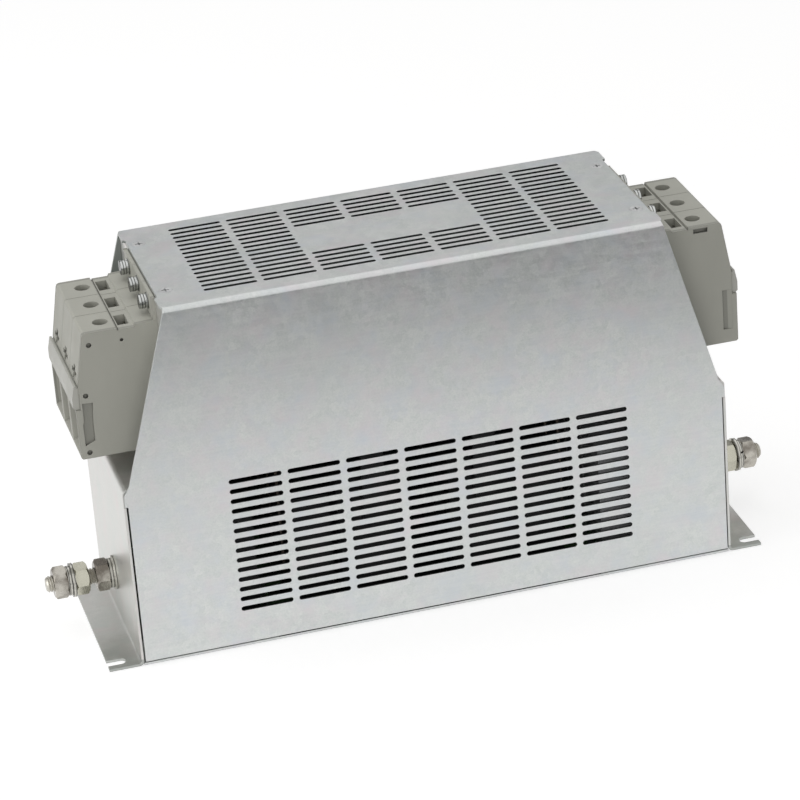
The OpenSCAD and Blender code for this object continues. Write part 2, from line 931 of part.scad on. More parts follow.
// a steel strap over the core, with its ends down the sides of the saddle
module core_strap() {
    x0 = core_x - strap_w / 2;
    x1 = core_x + strap_w / 2;
    r = core_d / 2 + 0.1;
    low = sheet + saddle_h - strap_hang;
    intersection() {
        translate([0, 0, axis_z]) difference() {
            along_x(x0, x1, 2 * (r + strap_t));
            along_x(x0 - 1, x1 + 1, 2 * r);
        }
        box3(x0 - 1, x1 + 1, -r - 5, r + 5, axis_z, axis_z + r + 5);
    }
    for (s = [0, 1]) mirror([0, s, 0]) {
        box3(x0, x1, r, r + strap_t, low + 14, axis_z);
        box3(x0, x1, saddle_hd, r + strap_t, low + 14, low + 14 + strap_t);
        box3(x0, x1, saddle_hd, saddle_hd + strap_t, low, low + 14 + strap_t);
    }
}

module load_core_strap() {
    color("silver") core_strap();
}

module line_core_strap() {
    color("silver") at_line() core_strap();
}

module board() {
    difference() {
        box3(board_x - board_l / 2, board_x + board_l / 2, -board_w / 2, board_w / 2,
            board_z, board_top);
        for (x = [-1, 1]) for (y = [-1, 1])
            translate([board_x + x * post_x, y * post_y, board_z - 1])
                cylinder(h = 4, d = 3.2, $fn = 24);
    }
}

module load_board() {
    color("olivedrab") board();
}

module line_board() {
    color("olivedrab") at_line() board();
}

module board_posts() {
    color("silver") for (e = [-1, 1]) for (x = [-1, 1]) for (y = [-1, 1])
        translate([e * board_x + x * post_x, y * post_y, sheet]) {
            cylinder(h = board_z - sheet, d = 6 / cos(30), $fn = 6);
            cylinder(h = board_top - sheet + 1, d = 3, $fn = 24);
            translate([0, 0, board_top - sheet])
                cylinder(h = 2.2, d = 5.6, $fn = 24);
        }
}

module x_capacitors() {
    for (i = [-1:1]) translate([cap_x, i * cap_pitch, board_top])
        translate([0, 0, cap_height / 2])
            cube([cap_l, cap_w, cap_height], center = true);
}

module load_x_capacitors() {
    color("lightgrey") x_capacitors();
}

module line_x_capacitors() {
    color("dimgrey") at_line() x_capacitors();
}

// a second row, between the choke and the links to the bars
module inner_capacitors() {
    for (i = [-1:1]) translate([0, i * inner_pitch, board_top])
        box3(inner_x0, inner_x1, -(inner_pitch - cap_space) / 2,
            (inner_pitch - cap_space) / 2, 0, cap_height);
}

module load_inner_capacitors() {
    color("dimgrey") inner_capacitors();
}

module line_inner_capacitors() {
    color("dimgrey") at_line() inner_capacitors();
}

module y_capacitors() {
    color("steelblue") for (s = [-1, 1]) for (i = [-1:1])
        translate([s * (tap_x + 8), i * cap_pitch + cap_pitch / 3,
            board_top + y_cap_h / 2])
            cube([y_cap_l, y_cap_w, y_cap_h], center = true);
}

module discharge_resistors() {
    color("tan") for (s = [-1, 1]) for (i = [-1:1])
        translate([s * (tap_x + 8), i * cap_pitch - cap_pitch / 3,
            board_top + resistor_d / 2]) rotate([90, 0, 0])
            cylinder(h = resistor_l, d = resistor_d, center = true, $fn = 24);
}

// folded strips from the board up to the underside of the bars
module tap_links() {
    poles() difference() {
        plate_xz(tap_w) {
            box2(tap_back, tap_back + tap_foot + 4, bar_height - tap_t, bar_height);
            box2(tap_back, tap_back + tap_t, board_top, bar_height);
            box2(tap_back, tap_back + tap_foot, board_top, board_top + tap_t);
        }
        translate([tap_x, 0, bar_height - 5]) cylinder(h = 6, d = tap_d + 0.2);
    }
}

module load_tap_links() {
    color("peru") tap_links();
}

module line_tap_links() {
    color("peru") at_line() tap_links();
}

// screw, head up, with its nut below the link
module tap_screws() {
    z0 = bar_height - tap_t;
    z1 = bar_height + bar_thick;
    color("silver") for (s = [-1, 1]) for (i = [-1:1])
        translate([s * tap_x, i * pole_pitch, 0]) {
            translate([0, 0, z1]) cylinder(h = 3.5, d = 8 / cos(30), $fn = 6);
            translate([0, 0, z0 - 6]) cylinder(h = z1 - z0 + 7, d = tap_d);
            translate([0, 0, z0 - 4]) cylinder(h = 4, d = 8 / cos(30), $fn = 6);
        }
}

base_tray();
line_end_wall();
load_end_wall();
cover();
cover_screws();
cover_nuts();
line_terminal_1();
line_terminal_2();
line_terminal_3();
load_terminal_1();
load_terminal_2();
load_terminal_3();
line_marker_strip();
load_marker_strip();
line_clamp_cages();
load_clamp_cages();
line_clamp_screws();
load_clamp_screws();
line_bridge_contacts();
load_bridge_contacts();
line_fixing_screws();
load_fixing_screws();
line_fixing_nuts();
load_fixing_nuts();
line_earth_stud();
load_earth_stud();
line_earth_nuts();
load_earth_nuts();
line_earth_washers();
load_earth_washers();
line_spring_washers();
load_spring_washers();
line_earth_link();
load_earth_link();
phase_bar_1();
phase_bar_2();
phase_bar_3();
line_core();
load_core();
line_bar_carrier();
load_bar_carrier();
line_core_saddle();
load_core_saddle();
line_core_strap();
load_core_strap();
line_board();
load_board();
board_posts();
line_x_capacitors();
load_x_capacitors();
line_inner_capacitors();
load_inner_capacitors();
y_capacitors();
discharge_resistors();
line_tap_links();
load_tap_links();
tap_screws();
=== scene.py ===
"""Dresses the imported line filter: sheet steel, moulded terminals, plated hardware and studio."""

import logging
import math
from dataclasses import dataclass
from enum import Enum
from typing import Sequence

import bpy
import numpy as np
from mathutils import Matrix, Vector


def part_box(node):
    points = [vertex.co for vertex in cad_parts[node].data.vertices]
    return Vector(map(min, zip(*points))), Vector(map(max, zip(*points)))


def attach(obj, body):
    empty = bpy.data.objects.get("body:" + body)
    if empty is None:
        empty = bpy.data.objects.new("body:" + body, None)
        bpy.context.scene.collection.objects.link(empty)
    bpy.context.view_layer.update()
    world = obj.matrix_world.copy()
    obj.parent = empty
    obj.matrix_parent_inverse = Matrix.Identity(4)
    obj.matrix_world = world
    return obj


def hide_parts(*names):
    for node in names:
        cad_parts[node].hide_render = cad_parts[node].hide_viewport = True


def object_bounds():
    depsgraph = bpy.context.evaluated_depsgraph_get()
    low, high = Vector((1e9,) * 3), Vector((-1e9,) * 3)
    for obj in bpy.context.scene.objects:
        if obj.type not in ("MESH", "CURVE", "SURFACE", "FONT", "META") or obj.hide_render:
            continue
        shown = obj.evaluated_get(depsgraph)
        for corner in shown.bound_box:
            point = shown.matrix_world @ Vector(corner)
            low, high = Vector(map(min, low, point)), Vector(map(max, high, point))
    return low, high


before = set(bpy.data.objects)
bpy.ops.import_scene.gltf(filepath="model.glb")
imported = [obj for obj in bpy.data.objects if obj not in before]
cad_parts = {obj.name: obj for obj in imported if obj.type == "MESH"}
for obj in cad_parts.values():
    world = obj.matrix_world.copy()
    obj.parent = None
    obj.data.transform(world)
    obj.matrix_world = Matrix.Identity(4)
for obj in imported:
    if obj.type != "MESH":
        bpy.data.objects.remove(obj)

log = logging.getLogger("line_filter")
MM = 0.001
CAD_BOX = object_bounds()
# a face looks a given way where its normal's share of that direction passes this
TURNED = 0.35

Rgb = tuple[float, float, float]
Place = tuple[float, float, float]
Span = tuple[float, float]

WHITE: Rgb = (1.0, 1.0, 1.0)


def srgb(red: float, green: float, blue: float) -> Rgb:
    """Turns a colour of 0 to 255 into scene-linear light.

    Args:
        red: Red, 0 to 255.
        green: Green, 0 to 255.
        blue: Blue, 0 to 255.

    Returns:
        The three linear values, ((c + 0.055) / 1.055) ** 2.4 above the dark end.
    """
    shares = [channel / 255.0 for channel in (red, green, blue)]
    return tuple(
        s / 12.92 if s <= 0.04045 else ((s + 0.055) / 1.055) ** 2.4 for s in shares
    )


class Grain(Enum):
    """The way that the rolling marks of a sheet run."""

    ALONG = (1.0, 0.06, 0.06)
    ACROSS = (0.06, 1.0, 0.06)
    UPRIGHT = (0.06, 0.06, 1.0)


class Skin(Enum):
    """Which sheet a finish is for, as each one has its outer skin elsewhere."""

    COVER = "cover"
    WALL = "wall"
    TRAY = "tray"


class Recipe:
    """One material under construction: adds shader nodes and joins them."""

    def __init__(self, name: str) -> None:
        """Starts an empty material.

        Args:
            name: The material's name.
        """
        self.material = bpy.data.materials.new(name)
        self.material.use_nodes = True
        self.tree = self.material.node_tree
        self.tree.nodes.clear()
        coordinates = self.add("ShaderNodeTexCoord")
        self.place = coordinates.outputs["Object"]
        self.facing = coordinates.outputs["Normal"]

    def add(
        self, kind: str, sockets: dict | None = None, **settings: object
    ) -> bpy.types.Node:
        """Adds a node.

        Args:
            kind: Blender's node type.
            sockets: Input name or number to a value or to another node's output.
            settings: The node's own settings.

        Returns:
            The new node.
        """
        node = self.tree.nodes.new(kind)
        for name, value in settings.items():
            setattr(node, name, value)
        for key, value in (sockets or {}).items():
            if isinstance(value, bpy.types.NodeSocket):
                self.tree.links.new(value, node.inputs[key])
            elif isinstance(value, tuple) and len(value) == 3 and node.inputs[key].type == "RGBA":
                node.inputs[key].default_value = (*value, 1.0)
            else:
                node.inputs[key].default_value = value
        return node

    def stretched(self, scale: Sequence[float]) -> bpy.types.NodeSocket:
        """Gives Object coordinates stretched by scale."""
        return self.add(
            "ShaderNodeMapping", {"Vector": self.place, "Scale": tuple(scale)}
        ).outputs["Vector"]

    def noise(
        self,
        scale: float,
        detail: float = 4.0,
        rough: float = 0.5,
        where: bpy.types.NodeSocket | None = None,
        out: str = "Fac",
    ) -> bpy.types.NodeSocket:
        """Gives a noise of scale cells a metre.

        Args:
            scale: Cells a metre.
            detail: Octaves.
            rough: Weight of the finer octaves.
            where: Coordinates, or the plain Object ones.
            out: Fac or Color.

        Returns:
            The noise's output.
        """
        return self.add(
            "ShaderNodeTexNoise",
            {
                "Vector": where or self.place,
                "Scale": scale,
                "Detail": detail,
                "Roughness": rough,
            },
        ).outputs[out]

    def cells(
        self, scale: float, where: bpy.types.NodeSocket | None = None, feature: str = "F1"
    ) -> bpy.types.Node:
        """Gives a Voronoi node of scale cells a metre."""
        return self.add(
            "ShaderNodeTexVoronoi",
            {"Vector": where or self.place, "Scale": scale},
            feature=feature,
        )

    def waves(self, scale: float, distortion: float, letter: str) -> bpy.types.NodeSocket:
        """Gives bands across one axis, of Blender's wave scale and distortion."""
        return self.add(
            "ShaderNodeTexWave",
            {"Vector": self.place, "Scale": scale, "Distortion": distortion},
            bands_direction=letter,
        ).outputs["Fac"]

    def ramp(
        self, value: bpy.types.NodeSocket, low: float, high: float, to_low: float, to_high: float
    ) -> bpy.types.NodeSocket:
        """Carries value from low..high to to_low..to_high, held at both ends."""
        return self.add(
            "ShaderNodeMapRange",
            {
                "Value": value,
                "From Min": low,
                "From Max": high,
                "To Min": to_low,
                "To Max": to_high,
            },
        ).outputs["Result"]

    def blend(
        self,
        share: bpy.types.NodeSocket | float,
        first: bpy.types.NodeSocket | Rgb,
        second: bpy.types.NodeSocket | Rgb,
    ) -> bpy.types.NodeSocket:
        """Blends two colours.

        Args:
            share: 0 gives the first, 1 the second.
            first: Colour A.
            second: Colour B.

        Returns:
            The blended colour.
        """
        return self.add(
            "ShaderNodeMix", {0: share, 6: first, 7: second}, data_type="RGBA"
        ).outputs[2]

    def sums(self, kind: str, *values: bpy.types.NodeSocket | float) -> bpy.types.NodeSocket:
        """Works out one sum of numbers, such as ADD, MULTIPLY or ABSOLUTE."""
        return self.add("ShaderNodeMath", dict(enumerate(values)), operation=kind).outputs[0]

    def axis(self, letter: str, of: bpy.types.NodeSocket | None = None) -> bpy.types.NodeSocket:
        """Gives X, Y or Z of the Object coordinates, or of another vector."""
        return self.add("ShaderNodeSeparateXYZ", {0: of or self.place}).outputs[letter]

    def away(self, letter: str) -> bpy.types.NodeSocket:
        """Gives how far the surface faces away from the middle along one axis, -1 to 1."""
        side = self.sums("SIGN", self.axis(letter))
        return self.sums("MULTIPLY", self.axis(letter, self.facing), side)

    def apart(self, letter: str) -> bpy.types.NodeSocket:
        """Gives the distance from the middle plane across one axis, in metres."""
        return self.sums("ABSOLUTE", self.axis(letter))

    def beyond(self, letter: str, limit: float) -> bpy.types.NodeSocket:
        """Gives 1 where the distance from the middle plane passes a limit in metres, else 0."""
        return self.sums("GREATER_THAN", self.apart(letter), limit)

    def band(self, letter: str, near: float, far: float) -> bpy.types.NodeSocket:
        """Gives 1 where the distance from the middle plane lies between two limits in metres."""
        return self.sums("SUBTRACT", self.beyond(letter, near), self.beyond(letter, far))

    def bump(
        self, height: bpy.types.NodeSocket, depth: float, strength: float = 1.0, edge: float = 0.0
    ) -> bpy.types.NodeSocket:
        """Gives the surface a relief.

        Args:
            height: 0 to 1.
            depth: The relief's depth in metres.
            strength: Share of the relief that shows.
            edge: Radius in metres of the small rounding on sharp edges.

        Returns:
            The shading normal.
        """
        sockets = {"Height": height, "Distance": depth, "Strength": strength}
        if edge:
            sockets["Normal"] = self.add(
                "ShaderNodeBevel", {"Radius": edge}, samples=6
            ).outputs["Normal"]
        return self.add("ShaderNodeBump", sockets).outputs["Normal"]

    def finish(self, **sockets: object) -> bpy.types.Material:
        """Closes the material with a Principled surface.

        Args:
            sockets: Input names with _ for a space, and their values.

        Returns:
            The finished material.
        """
        named = {key.replace("_", " "): value for key, value in sockets.items()}
        return self.close(self.add("ShaderNodeBsdfPrincipled", named))

    def close(self, surface: bpy.types.Node) -> bpy.types.Material:
        """Joins the last surface node to the output and returns the material."""
        self.add("ShaderNodeOutputMaterial", {0: surface.outputs[0]})
        return self.material


@dataclass(frozen=True)
class ZincSheet:
    """Hot-dip galvanised sheet: spangle, rolling streaks, faint tints, painted shade inside and on
    the feet.

    The limits are distances in metres from the middle planes, or from the floor for Z.
    """

    name: str
    skin: Skin
    light: Rgb = srgb(222, 224, 222)
    dark: Rgb = srgb(199, 204, 202)
    rose: Rgb = srgb(216, 209, 213)
    blue: Rgb = srgb(204, 209, 216)
    # painted shade: inside the case the cut edges and inner faces are painted near black, and past
    # the end walls the open inner faces are painted mid grey
    cut_edge_painted_shade: Rgb = srgb(52, 54, 53)
    bright_edge: Rgb = srgb(190, 194, 191)
    open_inside_painted_shade: Rgb = srgb(132, 137, 134)
    inside_painted_shade: Rgb = srgb(20, 20, 21)
    # painted shade: the feet turn darker towards the slots at their ends
    painted_foot_shade_colour: Rgb = srgb(150, 155, 151)
    roughness: float = 0.37
    spangles: float = 260.0
    grain: Grain = Grain.UPRIGHT
    # the outer skin lies past these
    cover_side: float = 0.0605
    cover_top: float = 0.215
    wall_foot: float = 0.005
    tray_side: float = 0.0615
    # past these, beyond the end walls, cut edges and inner faces lie open
    cover_end: float = 0.1285
    other_end: float = 0.1
    # the feet's upper face lies under the first, and the painted shade rises over the second
    foot_top: float = 0.004
    foot_shade_rise: Span = (0.036, 0.06)

    def outer(self, r: Recipe) -> bpy.types.NodeSocket:
        """Gives 1 on the outer skin and 0 elsewhere.

        A face counts as outer where its normal points away from the middle of the case, and only
        on the stretch of the sheet where that direction leads outside.

        Args:
            r: The material under construction.

        Returns:
            The mask.
        """
        up = r.axis("Z", r.facing)
        if self.skin is Skin.COVER:
            sides = r.sums("MULTIPLY", r.away("Y"), r.beyond("Y", self.cover_side))
            top = r.sums("MULTIPLY", r.sums("MAXIMUM", up, 0.0), r.beyond("Z", self.cover_top))
            return r.sums("GREATER_THAN", r.sums("ADD", sides, top), TURNED)
        if self.skin is Skin.WALL:
            down = r.sums("MINIMUM", up, 0.0)
            under = r.sums("MULTIPLY", down, r.beyond("Z", self.wall_foot))
            return r.sums("GREATER_THAN", r.sums("MINIMUM", r.away("X"), under), -TURNED)
        sides = r.sums("MULTIPLY", r.away("Y"), r.beyond("Y", self.tray_side))
        below = r.sums("MULTIPLY", up, -1.0)
        return r.sums("GREATER_THAN", r.sums("MAXIMUM", sides, below), TURNED)

    def inner(self, r: Recipe) -> bpy.types.NodeSocket:
        """Gives 1 on faces that look back to the middle of the case, where the painted shade lies.
        """
        facing = r.sums("MINIMUM", r.away("Y"), r.axis("Z", r.facing))
        if self.skin is not Skin.COVER:
            facing = r.sums("MINIMUM", r.away("X"), facing)
        return r.sums("LESS_THAN", facing, -TURNED)

    def outline(self, r: Recipe) -> bpy.types.NodeSocket:
        """Gives 1 past the end walls, where cut edges and inner faces lie open: the edges stay
        bright, and the inner faces take a painted mid-grey shade.
        """
        return r.beyond("X", self.cover_end if self.skin is Skin.COVER else self.other_end)

    def painted_foot_shade(self, r: Recipe) -> bpy.types.NodeSocket:
        """Gives the share of painted shade on the feet, which rises towards the slots at their
        ends.
        """
        low = r.sums("LESS_THAN", r.axis("Z"), self.foot_top)
        sway = r.ramp(r.noise(60.0, 3.0), 0.3, 0.7, -0.006, 0.006)
        ragged = r.sums("ADD", r.apart("Y"), sway)
        return r.sums("MULTIPLY", low, r.ramp(ragged, *self.foot_shade_rise, 0.0, 0.7))

    def build(self) -> bpy.types.Material:
        """Returns the material."""
        r = Recipe(self.name)
        warp = r.noise(420.0, 3.0, 0.6, out="Color")
        shift = r.add("ShaderNodeVectorMath", {0: warp, "Scale": 0.003}, operation="SCALE")
        bent = r.add(
            "ShaderNodeVectorMath", {0: r.place, 1: shift.outputs[0]}, operation="ADD"
        ).outputs[0]
        tone = r.add("ShaderNodeSeparateColor", {0: r.cells(self.spangles, bent).outputs["Color"]})
        fine = r.noise(900.0, 2.0, 0.6)
        mixed = r.sums(
            "ADD",
            r.sums("MULTIPLY", tone.outputs[0], 0.45),
            r.ramp(fine, 0.3, 0.7, 0.0, 0.55),
        )
        colour = r.blend(mixed, self.dark, self.light)
        tint = r.blend(r.ramp(r.noise(48.0, 3.0), 0.4, 0.6, 0.0, 1.0), self.rose, self.blue)
        colour = r.blend(r.ramp(r.noise(60.0, 4.0, 0.65), 0.4, 0.66, 0.0, 0.7), colour, tint)
        cloud = r.noise(11.0, 3.0)
        colour = r.blend(r.ramp(cloud, 0.38, 0.68, 0.0, 0.3), colour, self.dark)
        streak = r.noise(520.0, 3.0, 0.6, r.stretched(self.grain.value))
        colour = r.blend(r.ramp(streak, 0.45, 0.72, 0.0, 0.3), colour, self.light)
        # painted shade on the feet, darker towards their ends
        if self.skin is Skin.WALL:
            colour = r.blend(self.painted_foot_shade(r), colour, self.painted_foot_shade_colour)
        # painted shade: faces off the outer skin take the near-black or mid-grey painted shade,
        # except the bright cut edges past the end walls
        inner = self.inner(r)
        edges_and_painted_shade_inside = r.blend(
            self.outline(r),
            r.blend(inner, self.cut_edge_painted_shade, self.inside_painted_shade),
            r.blend(inner, self.bright_edge, self.open_inside_painted_shade),
        )
        outer = self.outer(r)
        rough = r.sums(
            "ADD",
            r.ramp(mixed, 0.2, 0.8, self.roughness - 0.03, self.roughness + 0.03),
            r.ramp(streak, 0.3, 0.7, -0.03, 0.03),
        )
        steps = r.sums("MULTIPLY", tone.outputs[2], 0.4)
        relief = r.sums("ADD", steps, r.sums("MULTIPLY", fine, 0.6))
        return r.finish(
            Base_Color=r.blend(outer, edges_and_painted_shade_inside, colour),
            Metallic=r.sums("MULTIPLY", outer, 0.8),
            Roughness=rough,
            Normal=r.bump(relief, 0.00002, 0.4, 0.0006),
        )


@dataclass(frozen=True)
class MouldedPlastic:
    """Moulded polyamide: a spark-eroded grain, faint flow marks and painted shade in the recesses.

    The terminals' finish has sunk set: the distances across Y between which the recessed panels of
    the outer faces lie. Their test openings are the box of test_x, test_z and test_y.
    """

    name: str
    colour: Rgb
    shade: Rgb
    roughness: float = 0.52
    grain: float = 2600.0
    # painted shade for recesses, test openings and nooks
    painted_recess_shade: Rgb = srgb(30, 29, 27)
    sunk: Span | None = None
    test_x: Span = (0.1898, 0.1944)
    test_z: Span = (0.1731, 0.1816)
    test_y: float = 0.0396
    nook: float = 0.005

    def paint_recess_shade(
        self, r: Recipe, colour: bpy.types.NodeSocket, sunk: Span
    ) -> bpy.types.NodeSocket:
        """Paints shade on the sunk panels, a little, and in the test openings, nearly to black.

        Args:
            r: The material under construction.
            colour: The colour so far.
            sunk: Where the panels lie across Y.

        Returns:
            The new colour.
        """
        colour = r.blend(r.sums("MULTIPLY", r.band("Y", *sunk), 0.3), colour, self.painted_recess_shade)
        tests = r.sums("MULTIPLY", r.band("X", *self.test_x), r.band("Z", *self.test_z))
        inside = r.sums("SUBTRACT", 1.0, r.beyond("Y", self.test_y))
        tests = r.sums("MULTIPLY", tests, inside)
        return r.blend(r.sums("MULTIPLY", tests, 0.9), colour, self.painted_recess_shade)

    def build(self) -> bpy.types.Material:
        """Returns the material."""
        r = Recipe(self.name)
        flow = r.noise(38.0, 4.0, 0.6, r.stretched((1.0, 1.0, 0.35)))
        speck = r.noise(900.0, 2.0)
        colour = r.blend(r.ramp(flow, 0.3, 0.75, 0.0, 0.8), self.colour, self.shade)
        colour = r.blend(r.ramp(speck, 0.45, 0.8, 0.0, 0.18), colour, self.shade)
        if self.sunk:
            colour = self.paint_recess_shade(r, colour, self.sunk)
        # painted shade: ambient occlusion darkens nooks, seams and holes
        nook = r.add(
            "ShaderNodeAmbientOcclusion", {"Distance": self.nook}, samples=6, only_local=True
        ).outputs["AO"]
        colour = r.blend(r.ramp(nook, 0.15, 0.6, 0.92, 0.0), colour, self.painted_recess_shade)
        rough = r.ramp(r.noise(70.0, 3.0), 0.3, 0.7, self.roughness - 0.07, self.roughness + 0.06)
        return r.finish(
            Base_Color=colour,
            Roughness=rough,
            Specular_IOR_Level=0.42,
            Normal=r.bump(r.noise(self.grain, 2.0), 0.00005, 0.35, 0.00045),
        )


@dataclass(frozen=True)
class PlatedSteel:
    """Plated steel hardware: turned rings with painted shade in their grooves, small pits and a
    passivated tint.

    yellowed is the stretch along X whose plating is yellower, such as one nut of a row.
    """

    name: str
    colour: Rgb = srgb(202, 198, 190)
    tint: Rgb = srgb(196, 192, 170)
    roughness: float = 0.3
    edge: float = 0.00035
    relief: float = 0.25
    yellowed: Span | None = None
    ringed: bool = False
    pit: Rgb = srgb(120, 116, 108)
    yellow: Rgb = srgb(200, 198, 182)
    # painted shade for the turned grooves
    painted_groove_shade: Rgb = srgb(70, 70, 68)
    rings: float = 190.0

    def build(self) -> bpy.types.Material:
        """Returns the material."""
        r = Recipe(self.name)
        cloud = r.noise(90.0, 3.0)
        turned = r.noise(1400.0, 3.0, 0.6, r.stretched((1.0, 0.2, 0.2)))
        pits = r.noise(2400.0, 2.0)
        colour = r.blend(r.ramp(cloud, 0.4, 0.6, 0.0, 1.0), self.colour, self.tint)
        colour = r.blend(r.ramp(pits, 0.6, 0.8, 0.0, 0.6 * self.relief), colour, self.pit)
        if self.yellowed:
            nut = r.sums("MULTIPLY", r.band("X", *self.yellowed), 0.85)
            colour = r.blend(nut, colour, self.yellow)
        if self.ringed:
            # painted shade: dark rings along the turned grooves
            rings = r.waves(self.rings, 1.5, "X")
            colour = r.blend(r.ramp(rings, 0.45, 0.12, 0.0, 0.85), colour, self.painted_groove_shade)
        rough = r.sums(
            "ADD",
            r.ramp(turned, 0.3, 0.7, self.roughness - 0.06, self.roughness + 0.08),
            r.ramp(cloud, 0.3, 0.7, 0.0, 0.05),
        )
        relief = r.sums("ADD", r.sums("MULTIPLY", turned, 0.7), r.sums("MULTIPLY", pits, 0.3))
        return r.finish(
            Base_Color=colour,
            Metallic=0.95,
            Roughness=rough,
            Normal=r.bump(relief, 0.00004, self.relief, self.edge),
        )


@dataclass(frozen=True)
class Copper:
    """Tinned copper with heat tint and drawing marks; its dark grey-browns are partly painted shade
    for copper inside the case.
    """

    name: str = "tinned_copper"

    def build(self) -> bpy.types.Material:
        """Returns the material."""
        r = Recipe(self.name)
        drawn = r.noise(900.0, 3.0, 0.6, r.stretched(Grain.ALONG.value))
        cloud = r.noise(40.0, 4.0, 0.6)
        # partly painted shade: grey-browns far darker than bright tin, for copper that lies inside
        # the case
        colour = r.blend(r.ramp(cloud, 0.35, 0.75, 0.0, 0.9), srgb(96, 88, 80), srgb(72, 66, 60))
        colour = r.blend(r.ramp(drawn, 0.4, 0.8, 0.0, 0.3), colour, srgb(116, 106, 96))
        return r.finish(
            Base_Color=colour,
            Metallic=1.0,
            Roughness=r.ramp(drawn, 0.3, 0.7, 0.28, 0.42),
            Normal=r.bump(drawn, 0.00003, 0.5, 0.0002),
        )


@dataclass(frozen=True)
class CoatedShell:
    """A coated or cast shell of epoxy, with dust and an orange-peel skin."""

    name: str
    colour: Rgb
    shade: Rgb
    roughness: float = 0.42

    def build(self) -> bpy.types.Material:
        """Returns the material."""
        r = Recipe(self.name)
        dust = r.noise(55.0, 4.0, 0.6)
        peel = r.noise(700.0, 2.0)
        colour = r.blend(r.ramp(dust, 0.35, 0.75, 0.0, 0.8), self.colour, self.shade)
        return r.finish(
            Base_Color=colour,
            Roughness=r.ramp(dust, 0.3, 0.7, self.roughness - 0.06, self.roughness + 0.12),
            Coat_Weight=0.15,
            Normal=r.bump(peel, 0.0001, 0.4, 0.0005),
        )


@dataclass(frozen=True)
class CircuitBoard:
    """Glass cloth board: a woven ground under the solder mask, with copper that shows through."""

    name: str = "circuit_board"

    def build(self) -> bpy.types.Material:
        """Returns the material."""
        r = Recipe(self.name)
        weave = r.sums("MULTIPLY", r.waves(520.0, 0.6, "X"), r.waves(520.0, 0.6, "Y"))
        pads = r.cells(60.0, feature="DISTANCE_TO_EDGE").outputs[0]
        colour = r.blend(r.ramp(weave, 0.1, 0.9, 0.0, 0.5), srgb(52, 92, 58), srgb(74, 116, 72))
        colour = r.blend(r.ramp(pads, 0.05, 0.09, 0.0, 0.5), colour, srgb(92, 130, 76))
        return r.finish(
            Base_Color=colour,
            Roughness=r.ramp(weave, 0.0, 1.0, 0.32, 0.46),
            Normal=r.bump(weave, 0.00003, 0.5),
        )


class Wardrobe:
    """All finishes of the filter, made once and shared by the pieces."""

    def __init__(self) -> None:
        """Builds every material."""
        self.cover_zinc = ZincSheet("cover_zinc", Skin.COVER).build()
        self.tray_zinc = ZincSheet("tray_zinc", Skin.TRAY).build()
        self.wall_zinc = ZincSheet(
            "wall_zinc",
            Skin.WALL,
            light=srgb(219, 219, 216),
            dark=srgb(204, 205, 201),
            rose=srgb(217, 208, 207),
            blue=srgb(204, 209, 205),
            grain=Grain.ACROSS,
        ).build()
        self.terminal = MouldedPlastic(
            "terminal_plastic", srgb(179, 179, 170), srgb(169, 169, 160), sunk=(0.0372, 0.0393)
        ).build()
        self.strip = MouldedPlastic(
            "strip_plastic", srgb(188, 188, 181), srgb(180, 180, 173), 0.46
        ).build()
        self.dark = MouldedPlastic(
            "dark_plastic", srgb(19, 19, 20), srgb(13, 13, 14), 0.5
        ).build()
        self.nut = PlatedSteel(
            "nut_steel",
            srgb(190, 186, 177),
            srgb(120, 114, 106),
            roughness=0.22,
            relief=0.1,
            yellowed=(0.1985, 0.2088),
        ).build()
        self.plated = PlatedSteel(
            "plated_steel", srgb(198, 195, 186), srgb(172, 168, 158)
        ).build()
        self.bright = PlatedSteel(
            "bright_steel",
            srgb(206, 208, 206),
            srgb(186, 188, 186),
            roughness=0.2,
            edge=0.00025,
            ringed=True,
        ).build()
        self.washer = PlatedSteel(
            "washer_steel",
            srgb(206, 204, 196),
            srgb(190, 188, 180),
            roughness=0.2,
            edge=0.00025,
            relief=0.06,
            ringed=True,
        ).build()
        self.sunk = PlatedSteel(
            "sunk_steel", srgb(222, 223, 223), srgb(208, 209, 209), roughness=0.34, edge=0.0002
        ).build()
        self.copper = Copper().build()
        # partly painted shade: the cores' near black is partly their coat, partly shade inside the
        # case
        self.core = CoatedShell("coated_core", srgb(28, 30, 35), srgb(22, 24, 28)).build()
        self.epoxy = CoatedShell("grey_epoxy", srgb(74, 82, 80), srgb(62, 69, 68)).build()
        self.capacitor = CoatedShell(
            "capacitor_grey", srgb(150, 152, 154), srgb(136, 138, 141)
        ).build()
        self.board = CircuitBoard().build()


def dress(node: str, material: bpy.types.Material) -> None:
    """Gives a CAD node one material all over.

    Args:
        node: The node's name.
        material: Its new material.
    """
    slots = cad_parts[node].data.materials
    if not slots:
        slots.append(material)
    for index in range(len(slots)):
        slots[index] = material
    log.info("dressed %s with %s", node, material.name)


def both(name: str) -> list[str]:
    """Returns a node's name at the line end and at the load end."""
    return [f"line_{name}", f"load_{name}"]


def stand(name: str, data: bpy.types.ID) -> bpy.types.Object:
    """Makes an object of its data and puts it on the set."""
    thing = bpy.data.objects.new(name, data)
    bpy.context.scene.collection.objects.link(thing)
    return thing


def card(name: str, corners: list[Place], material: bpy.types.Material) -> bpy.types.Object:
    """Stands one flat card with four corners, in metres, for the studio."""
    mesh = bpy.data.meshes.new(name)
    mesh.from_pydata(corners, [], [(0, 1, 2, 3)])
    mesh.materials.append(material)
    return stand(name, mesh)


